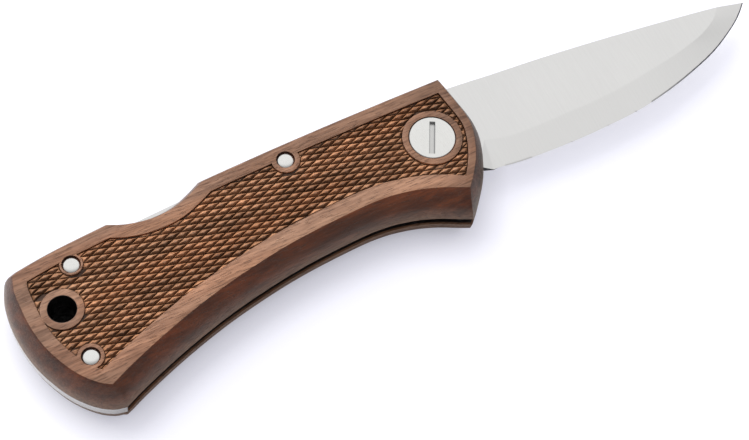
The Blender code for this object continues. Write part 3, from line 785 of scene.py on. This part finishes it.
def flat_faces(builder, level):
    """The flat faces at one height."""
    return [face for face in builder.faces if abs(face.normal.z) > flat_normal
            and abs(face.calc_center_median().z - level) < weld]


print("lines are", round(chequer_pitch / MM, 3), "mm apart")

# %% [markdown]
# Each cell becomes a low pyramid with a worn crown: it is inset three times, and each time drawn in
# towards its middle and lifted. Across one set of lines it is drawn in a little more than across the
# other, as the worn crowns of the real panel are, and a seeded random hand makes every cell a little
# different. A cell that the border leaves small stays lower, and a sliver stays flat.

# %% Cells of the chequering
cell_steps = ((0.66, 0.74, 0.25 * MM), (0.54, 0.56, 0.20 * MM), (0.34, 0.45, 0.08 * MM))
cell_rise = sum(step[-1] for step in cell_steps)
cell_wander = 0.06 * MM
cell_unevenness = 0.08
cell_shades = (-0.22, 0.14)
regular_radius = 0.86 * chequer_pitch / 2
smallest_cell = 0.10 * MM
hand_seed = 3


def cell_radius(face):
    """Distance from a cell's middle to its nearest edge."""
    middle = face.calc_center_median_weighted()
    reaches = []
    for edge in face.edges:
        first, second = (vert.co for vert in edge.verts)
        along = (second - first).normalized()
        reaches.append((middle - first).cross(along).length)
    return min(reaches)


def is_star(face):
    """True if the whole rim of a cell can be seen from its middle."""
    middle = face.calc_center_median_weighted()
    corners = [vert.co - middle for vert in face.verts]
    turns = [first.cross(second).dot(face.normal) for first, second in
             zip(corners, corners[1:] + corners[:1])]
    return min(turns) > 0


def line_pushes():
    """For each set of lines, the way across it, and the step along the other set per unit across."""
    across = [Vector((-math.sin(angle), math.cos(angle), 0)) for angle in chequer_angles]
    along = [Vector((math.cos(angle), math.sin(angle), 0)) for angle in reversed(chequer_angles)]
    return [(line, way / way.dot(line)) for line, way in zip(across, along)]


def draw_in(face, sizes, lift):
    """Draws a cell's face in towards its middle by a size for each set of lines, and lifts it."""
    middle = face.calc_center_median_weighted()
    pushes = list(zip(line_pushes(), sizes))
    for vert in face.verts:
        reach = vert.co - middle
        drawn = (push * (reach.dot(line) * size) for (line, push), size in pushes)
        vert.co = middle + lift + sum(drawn, Vector())


def raise_cells(builder, cells, side):
    """Draws each cell in towards its middle and lifts it, as a pyramid with a worn crown."""
    hand = random.Random(hand_seed)
    shade = builder.faces.layers.float["cell_tone_and_painted_shade"]
    shares = {face: min(1.0, cell_radius(face) / regular_radius) for face in cells}
    tall = [face for face in cells
            if shares[face] * regular_radius > smallest_cell and is_star(face)]
    print("cells left low:", len(cells) - len(tall))
    whole = {face for face in tall if shares[face] == 1.0}
    for face in tall:
        face[shade] = hand.uniform(*cell_shades)
        shares[face] *= 1 - hand.uniform(0, cell_unevenness)
    for *sizes, rise in cell_steps:
        bmesh.ops.inset_individual(builder, faces=tall, thickness=0.0, depth=0.0)
        for face in tall:
            wander = Vector((hand.uniform(-1, 1), hand.uniform(-1, 1), 0)) * cell_wander * shares[face]
            lift = Vector((0, 0, side * rise * shares[face])) + wander * rise / cell_rise
            draw_in(face, sizes if face in whole else [sum(sizes) / 2] * 2, lift)


print("a whole cell rises", round(cell_rise / MM, 2), "mm")

# %% [markdown]
# The finish reads marks that the mesh carries: how deep a point lies in a cut, which flanks of the
# cells face the belly and get a painted shade, which faces belong to the flared sides, and which look
# into the handle and get a painted shade. The seam mark sits on points and leaves out the outline, so
# the painted shade fades out before it reaches the bare rim of the wood.

# %% Marks on the scales
# Painted shade on the cells' flanks that face the belly, away from the lamp.
lee_flank_painted_shade = -0.56
flank_turn = -0.25
flank_slope = 0.93
seam_reach = 3.0 * MM
inner_normal = -0.9


def paint_shade_on_lee_flanks(builder):
    """Paints shade on the flanks that face the belly, away from the lamp."""
    shade = builder.faces.layers.float["cell_tone_and_painted_shade"]
    for face in builder.faces:
        if face[shade] and face.normal.y < flank_turn:
            face[shade] += lee_flank_painted_shade


def mark_cuts(builder, side, floor_level):
    """Marks how deep each point of the panel lies, and the faces of the sides."""
    groove = builder.verts.layers.float.new("groove")
    for vert in builder.verts:
        height = side * (vert.co.z - floor_level)
        inside = vert.co.z * side > floor_level * side - weld
        vert[groove] = max(0.0, 1 - height / cell_rise) if inside else 0.0
    flank = builder.faces.layers.float.new("side")
    for face in builder.faces:
        outside = not any(vert[groove] > 0 for vert in face.verts)
        face[flank] = 1.0 if outside and abs(face.normal.z) < flank_slope else 0.0


def outer_loop(builder, level):
    """The points of the outline, at the plane where the scales meet the steel."""
    flat = set(flat_faces(builder, level))
    rim = {edge for face in flat for edge in face.edges
           if any(other not in flat for other in edge.link_faces)}
    found = set()
    front = {max((vert for edge in rim for vert in edge.verts), key=lambda vert: vert.co.x)}
    while front:
        found |= front
        front = {edge.other_vert(vert) for vert in front for edge in vert.link_edges
                 if edge in rim} - found
    return found


def mark_seam(builder, side, level):
    """Marks the points of the faces that look into the handle for painted shade, except its outline."""
    seam = builder.verts.layers.float.new("seam")
    for face in builder.faces:
        near = side * (face.calc_center_median().z - handle_middle) < seam_reach
        if near and side * face.normal.z < inner_normal:
            for vert in face.verts:
                vert[seam] = 1.0
    outline = outer_loop(builder, level)
    for vert in outline:
        vert[seam] = 0.0
    bmesh.ops.triangulate(builder, faces=flat_faces(builder, level), ngon_method="BEAUTY")
    return len(outline)


print("the seam is marked within", seam_reach / MM, "mm of the middle plane")

# %% [markdown]
# Now each scale is made: a copy of its solid, with the floor of its panel cut and raised, its marks
# and a narrow round along the rims of the outer face and of the rings, as hand sanding leaves them.

# %% Scales
rim_width = 0.12 * MM
rim_steps = 2
wood_angle = math.radians(40)


def soften_rims(builder, level):
    """A narrow round along the rims of the outer face."""
    rims = [edge for edge in builder.edges if len(edge.link_faces) == 2
            and all(abs(vert.co.z - level) < weld for vert in edge.verts)
            and any(abs(face.normal.z) < flat_normal for face in edge.link_faces)]
    bmesh.ops.bevel(builder, geom=rims, affect="EDGES", offset=rim_width, segments=rim_steps,
                    profile=0.5, material=-1, clamp_overlap=True)


def make_scale(name, node, side):
    """One walnut scale with its panel chequered."""
    builder = node_copy(node)
    low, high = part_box(node)
    outer, inner = (high.z, low.z) if side > 0 else (low.z, high.z)
    floor_level = outer - side * panel_depth
    builder.faces.layers.float.new("cell_tone_and_painted_shade")
    join_cells(builder, split_floor(builder, flat_faces(builder, floor_level)))
    cells = flat_faces(builder, floor_level)
    print(name, "cells:", len(cells))
    raise_cells(builder, cells, side)
    mark_cuts(builder, side, floor_level)
    paint_shade_on_lee_flanks(builder)
    print("points of the outline:", mark_seam(builder, side, inner))
    soften_rims(builder, outer)
    mark_sharp(builder, wood_angle)
    return finish_piece(name, builder, walnut, "handle", node)


make_scale("right_walnut_scale", "right_scale", 1)
make_scale("left_walnut_scale", "left_scale", -1)

# %% [markdown]
# The blade is ground thin towards the edge, and its last third of a millimetre is honed at a
# steeper angle. That strip is narrow, but it mirrors another part of the room and shows as a fine
# line, and a painted dark reflection makes it darker towards the tip. It is split off the ground
# faces here, because the solid ends in a plain wedge.

# %% Honed edge
blade_low, blade_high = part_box("blade")
blade_middle = (blade_low.z + blade_high.z) / 2
honed_width = 0.34 * MM
honed_lift = 0.055 * MM
# Between these places along X the honed strip turns darker, as a painted reflection.
honed_span = (44.0 * MM, 74.0 * MM)
longest_share = 0.4
ground_normal = 0.9
keen_faces = 4


def is_ground(face):
    """True if a face lies on a flat or on the grind of the blade."""
    return abs(face.normal.z) > ground_normal


def keen_verts(builder):
    """The points of the cutting edge."""
    return {vert for vert in builder.verts if abs(vert.co.z - blade_middle) < weld
            and sum(is_ground(face) for face in vert.link_faces) >= keen_faces}


def split_strip(builder, keen):
    """Cuts a narrow strip off the ground faces along the edge; returns its inner points."""
    ground = [face for face in builder.faces if is_ground(face) and keen.intersection(face.verts)]
    bmesh.ops.triangulate(builder, faces=ground)
    slopes = [edge for edge in builder.edges if (edge.verts[0] in keen) != (edge.verts[1] in keen)]
    for edge in slopes:
        tip = edge.verts[0] if edge.verts[0] in keen else edge.verts[1]
        bmesh.utils.edge_split(edge, tip, min(longest_share, honed_width / edge.calc_length()))
    added = {vert for tip in keen for edge in tip.link_edges for vert in edge.verts} - keen
    for face in builder.faces[:]:
        pair = [vert for vert in face.verts if vert in added]
        if len(pair) == 2 and is_ground(face):
            bmesh.utils.face_split(face, *pair)
    return added


def hone_edge(builder):
    """Adds the steeper strip along the keen edge, and marks it towards the tip for a painted dark
    reflection.
    """
    honed = builder.faces.layers.float.new("honed")
    keen = keen_verts(builder)
    added = split_strip(builder, keen)
    for vert in added:
        vert.co.z += math.copysign(honed_lift, vert.co.z - blade_middle)
    strip = {face for vert in keen for face in vert.link_faces
             if all(vert in keen or vert in added for vert in face.verts)}
    for face in strip:
        share = (face.calc_center_median().x - honed_span[0]) / (honed_span[1] - honed_span[0])
        face[honed] = min(max(share, 0.0), 1.0)
    return len(strip)


print("blade stock:", round((blade_high.z - blade_low.z) / MM, 2), "mm")

# %% [markdown]
# At the heel the grind runs out softly, as a round wheel leaves it, but the corner of the solid would
# end it in a hard step. So the points of that corner are moved in to nearly the thickness of the
# edge. The walls of the notch beside it are marked for a painted shade.

# %% Blade
heel_corner = Vector((11.6 * MM, -10.003 * MM, 0))
heel_reach = 0.2 * MM
heel_stock = 0.15 * MM
# The walls of the heel notch get a painted shade.
choil_span = (6.0 * MM, 12.9 * MM)
choil_top = -7.0 * MM
choil_normal = 0.1
blade_angle = math.radians(5)


def soften_heel(builder):
    """Thins the corner behind the grind, so that the grind runs out in a soft ramp."""
    corners = [vert for vert in builder.verts
               if (vert.co.xy - heel_corner.xy).length < heel_reach
               and abs(vert.co.z - blade_middle) > heel_stock]
    flats = [face for face in builder.faces if abs(face.normal.z) > flat_normal
             and any(vert in corners for vert in face.verts)]
    for vert in corners:
        vert.co.z = blade_middle + math.copysign(heel_stock, vert.co.z - blade_middle)
    bmesh.ops.triangulate(builder, faces=flats)


def mark_choil_shade(builder):
    """Marks the walls of the notch at the heel for a painted shade."""
    choil_painted_shade = builder.faces.layers.float.new("choil_painted_shade")
    for face in builder.faces:
        middle = face.calc_center_median()
        in_notch = choil_span[0] < middle.x < choil_span[1] and middle.y < choil_top
        face[choil_painted_shade] = 1.0 if in_notch and abs(face.normal.z) < choil_normal else 0.0


def make_blade():
    """The blade with its honed edge and the soft end of its grind."""
    builder = node_copy("blade")
    print("faces of the honed strip:", hone_edge(builder))
    soften_heel(builder)
    mark_choil_shade(builder)
    mark_sharp(builder, blade_angle)
    return finish_piece("blade_body", builder, blade_steel, "blade", "blade")


make_blade()

# %% [markdown]
# The rivets are turned: a low dome with a rounded rim over a straight shank. One half has a plain
# post, and the other a tube that the post is pressed into. A profile is drawn for each and spun
# round the rivet's axis.

# %% Rivets
turn_steps = 64
rivet_head = 1.95 * MM
rivet_dome = 0.55 * MM
rivet_rim = 0.70 * MM
rivet_post = 0.75 * MM
rivet_tube = 1.25 * MM
rivet_bore = 0.80 * MM
dome_shares = (0.0, 0.2, 0.4, 0.6, 0.75, 0.87, 0.95, 0.99)
dome_terms = ((0.75, 2), (0.1, 12))
turned_angle = math.radians(50)


def head_profile(crown, inward):
    """Profile of a rivet's head from the centre of its crown down to its seat."""
    dome = [(rivet_head * share, crown + inward * rivet_dome
             * sum(weight * share ** power for weight, power in dome_terms))
            for share in dome_shares]
    return dome + [(rivet_head, crown + inward * rivet_dome),
                   (rivet_head, crown + inward * (rivet_dome + rivet_rim))]


def turn_piece(name, node, crown_up, shank, bore=0.0):
    """A turned half of a rivet in place of its solid."""
    low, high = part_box(node)
    crown, end, inward = (high.z, low.z, -1) if crown_up else (low.z, high.z, 1)
    seat = crown + inward * (rivet_dome + rivet_rim)
    profile = head_profile(crown, inward) + [(shank, seat), (shank, end)]
    if bore:
        profile += [(bore, end), (bore, seat)]
        end = seat
    profile.append((0.0, end))
    centre = (low + high) / 2
    builder = bmesh.new()
    verts = [builder.verts.new((centre.x + radius, centre.y, height)) for radius, height in profile]
    edges = [builder.edges.new(pair) for pair in zip(verts, verts[1:])]
    bmesh.ops.spin(builder, geom=verts + edges, axis=(0, 0, 1), cent=(centre.x, centre.y, 0),
                   angle=math.tau, steps=turn_steps, use_merge=True)
    bmesh.ops.remove_doubles(builder, verts=builder.verts, dist=weld)
    bmesh.ops.recalc_face_normals(builder, faces=builder.faces)
    mark_sharp(builder, turned_angle)
    return finish_piece(name, builder, pin_metal, "handle", node)


for rivet in ("rocker_rivet", "upper_rivet", "lower_rivet"):
    turn_piece(rivet + "_post_turned", rivet + "_post", True, rivet_post)
    turn_piece(rivet + "_tube_turned", rivet + "_tube", False, rivet_tube, rivet_bore)

# %% [markdown]
# The pivot's right half has a slot for a screwdriver. Its walls get a painted shade, and its floor a
# lighter one. The copy of the solid gets a narrow chamfer along the slot and a sunk mark, which the
# finish reads.

# %% Pivot
slot_sunk = 0.05 * MM
slot_deepest = 1.2 * MM
slot_reach = 4.3 * MM
slot_chamfer = 0.07 * MM
slot_floor_margin = 0.34 * MM
# The slot's floor gets a lighter painted shade than its walls.
slot_floor_shade = 0.42
wall_normal = 0.5


def slot_rims(builder, top):
    """The edges where the slot opens in the head."""
    return [edge for edge in builder.edges
            if all(abs(vert.co.z - top) < weld and vert.co.xy.length < slot_reach
                   for vert in edge.verts)
            and any(abs(face.normal.z) < wall_normal for face in edge.link_faces)]


def shade_slot(builder, top):
    """Breaks the slot's rims, and marks how much painted shade its walls and floor get."""
    rims = slot_rims(builder, top)
    bmesh.ops.bevel(builder, geom=rims, affect="EDGES", offset=slot_chamfer, segments=1,
                    profile=0.5, material=-1, clamp_overlap=True)
    floors = [face for face in builder.faces if face.normal.z > flat_normal
              and slot_sunk < top - face.calc_center_median().z < slot_deepest]
    sunk = builder.verts.layers.float.new("sunk")
    for vert in builder.verts:
        deep = slot_sunk < top - vert.co.z < slot_deepest and vert.co.xy.length < slot_reach
        vert[sunk] = 1.0 if deep else 0.0
    for face in floors:
        bmesh.ops.inset_individual(builder, faces=[face], thickness=slot_floor_margin, depth=0.0)
        for vert in face.verts:
            vert[sunk] = slot_floor_shade
    return len(rims)


def make_pivot_head(name, node, slotted):
    """One half of the pivot."""
    builder = node_copy(node)
    if slotted:
        print("edges of the slot:", shade_slot(builder, handle_top))
    mark_sharp(builder, steel_angle)
    return finish_piece(name, builder, head_metal, "handle", node)


make_pivot_head("pivot_head_slotted", "pivot_screw", True)
make_pivot_head("pivot_head_plain", "pivot_barrel", False)

# %% [markdown]
# The lock bar and the strip round the butt are plain flat parts. They are copied for a smooth look,
# and their long rims are broken, because a real edge is never quite sharp and shows as a fine bright
# line.

# %% Lock bar and strip
rim_angle = math.radians(60)
steel_rim = 0.06 * MM


def smooth_copy(name, node, material, body):
    """A smooth copy of a solid that takes its place, with its long rims broken."""
    builder = node_copy(node)
    rims = [edge for edge in builder.edges if len(edge.link_faces) == 2
            and edge.calc_face_angle(0) > rim_angle
            and any(abs(face.normal.z) > flat_normal for face in edge.link_faces)]
    bmesh.ops.bevel(builder, geom=rims, affect="EDGES", offset=steel_rim, segments=1, profile=0.5,
                    material=-1, clamp_overlap=True)
    mark_sharp(builder, steel_angle)
    return finish_piece(name, builder, material, body, node)


smooth_copy("lock_bar_body", "lock_bar", blade_steel, "lock_bar")
smooth_copy("back_strip", "back_spacer", strip_steel, "handle")

# %% [markdown]
# The liners and the washers lie hidden between wood and blade. Their solids already have the right
# shape, so they keep their meshes and only get their finishes.

# %% Liners and washers


def dress(name, material):
    """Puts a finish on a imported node."""
    mesh = nodes[name].data
    mesh.materials.clear()
    mesh.materials.append(material)
    print(name, "is dressed in", material.name)


for side in ("right", "left"):
    dress(side + "_liner", liner_steel)
    dress(side + "_washer", bronze)

# %% [markdown]
# The leaf spring sits in the strip at one end and presses on the lock bar at the other, so it bends
# between the two when the bar rocks. It is cut across a few times, and each cut follows the handle
# and the bar by its place between the root and the tip.

# %% Leaf spring
spring_root = Vector((-74.9 * MM, 8.1 * MM, handle_middle))
spring_tip = Vector((-67.9 * MM, 8.1 * MM, handle_middle))
spring_cuts = 10


def make_spring():
    """The leaf spring, cut across so that its free end can follow the lock bar."""
    builder = node_copy("lock_spring")
    for step in range(1, spring_cuts):
        place = spring_root.lerp(spring_tip, step / spring_cuts)
        bmesh.ops.bisect_plane(builder, geom=builder.verts[:] + builder.edges[:] + builder.faces[:],
                               dist=weld, plane_co=place, plane_no=(1, 0, 0))
    mark_sharp(builder, steel_angle)
    spring = finish_piece("leaf_spring", builder, spring_steel, None, "lock_spring")
    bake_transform(spring, "handle", "lock_bar", start=spring_root, end=spring_tip)
    return spring


make_spring()
